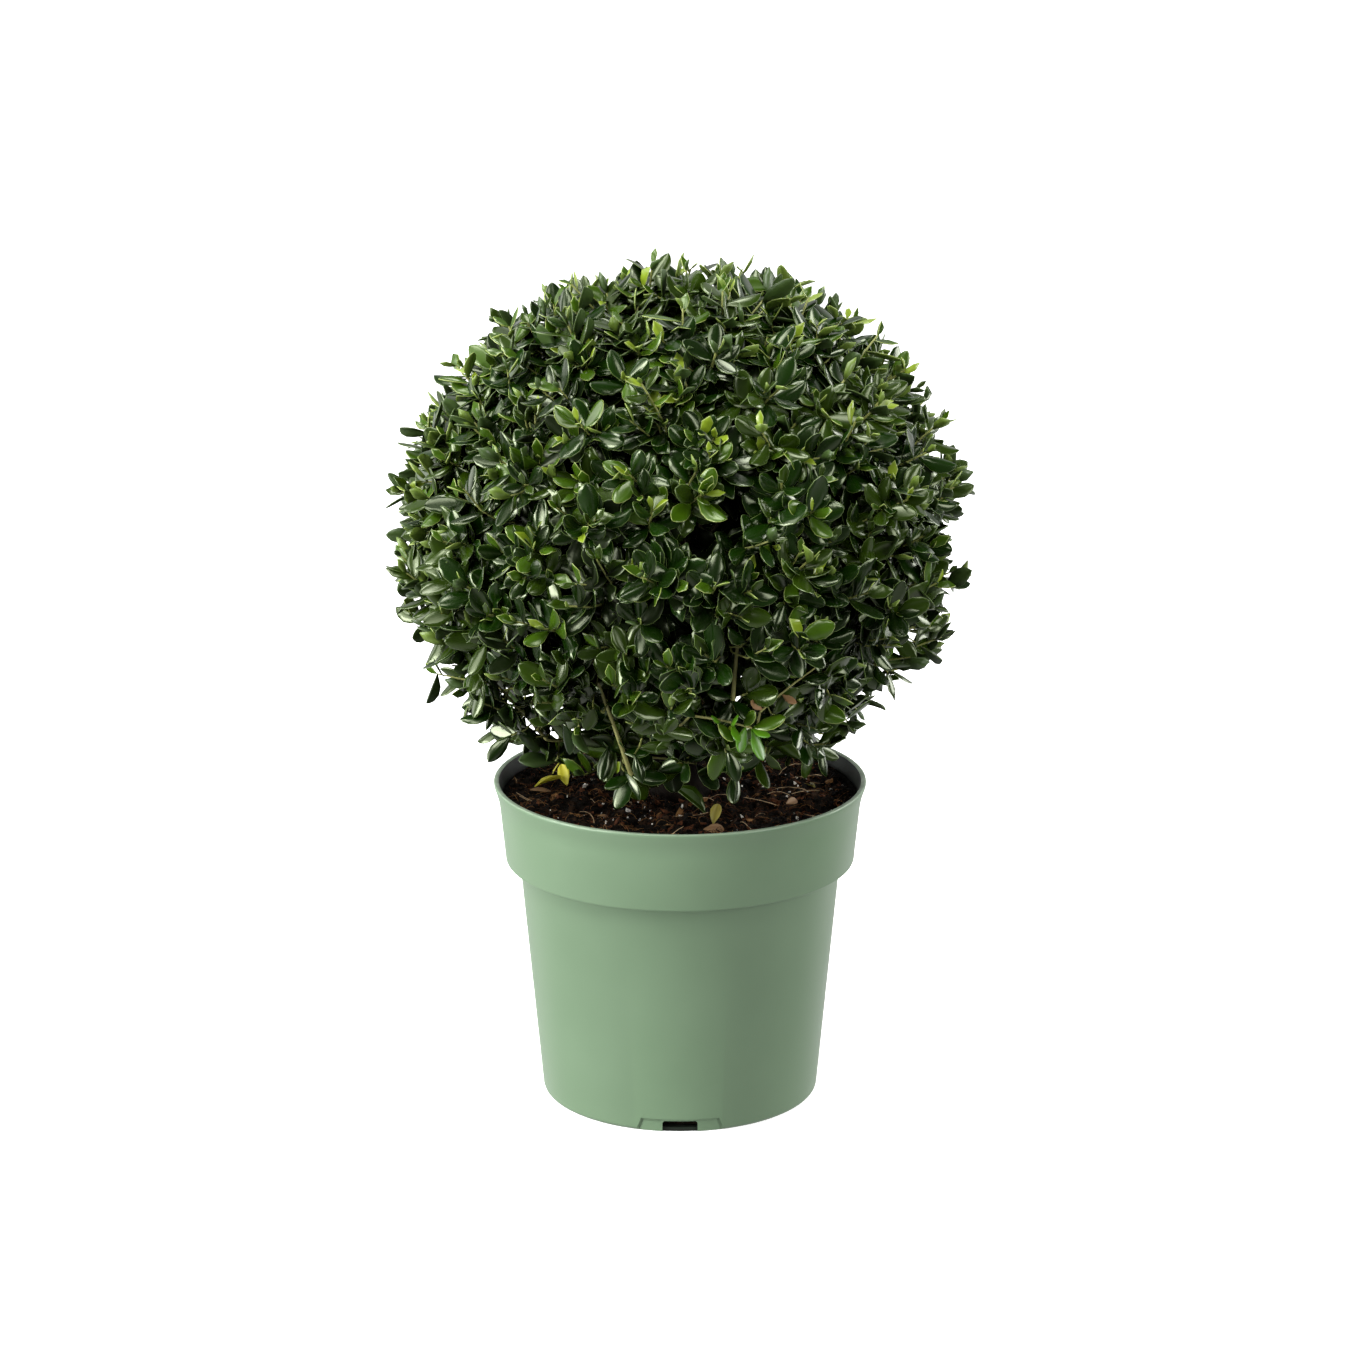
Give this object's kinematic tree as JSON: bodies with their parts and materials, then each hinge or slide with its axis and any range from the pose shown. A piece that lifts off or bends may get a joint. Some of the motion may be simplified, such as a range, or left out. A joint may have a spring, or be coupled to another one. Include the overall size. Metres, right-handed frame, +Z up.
{
  "type": "potted japanese holly",
  "caption": "Evergreen shrub clipped to a dense ball of small glossy leaves on a short forked trunk, in a tapered round plastic nursery pot filled with soil.",
  "frame": {"origin": "middle of the pot's flat underside, on the pot's axis", "axes": "+Z up along the pot's axis; the pictured side, with a drain hole in its middle, faces -Y; +X to the viewer's right"},
  "size_m": [0.3411, 0.3464, 0.5218],
  "materials": {
    "pot_plastic": "moulded satin plastic, sage green",
    "soil": "moist peat and bark compost",
    "bark": "thin grey-brown bark",
    "foliage": "small glossy dark green leaves with pale edges"
  },
  "bodies": {
    "root": {"pot": "pot_plastic", "soil": "soil", "trunk": "bark", "upper_bough_1": "bark", "upper_bough_2": "bark", "upper_bough_3": "bark", "upper_bough_4": "bark", "upper_bough_5": "bark", "skirt_bough_1": "bark", "skirt_bough_2": "bark", "skirt_bough_3": "bark", "skirt_bough_4": "bark", "skirt_bough_5": "bark", "skirt_bough_6": "bark", "skirt_bough_7": "bark", "skirt_bough_8": "bark", "leader_bough": "bark", "crown": "foliage", "skirt_spray_1": "foliage", "skirt_spray_2": "foliage", "skirt_spray_3": "foliage", "skirt_spray_4": "foliage", "skirt_spray_5": "foliage", "skirt_spray_6": "foliage", "skirt_spray_7": "foliage", "skirt_spray_8": "foliage"}
  },
  "joints": []
}
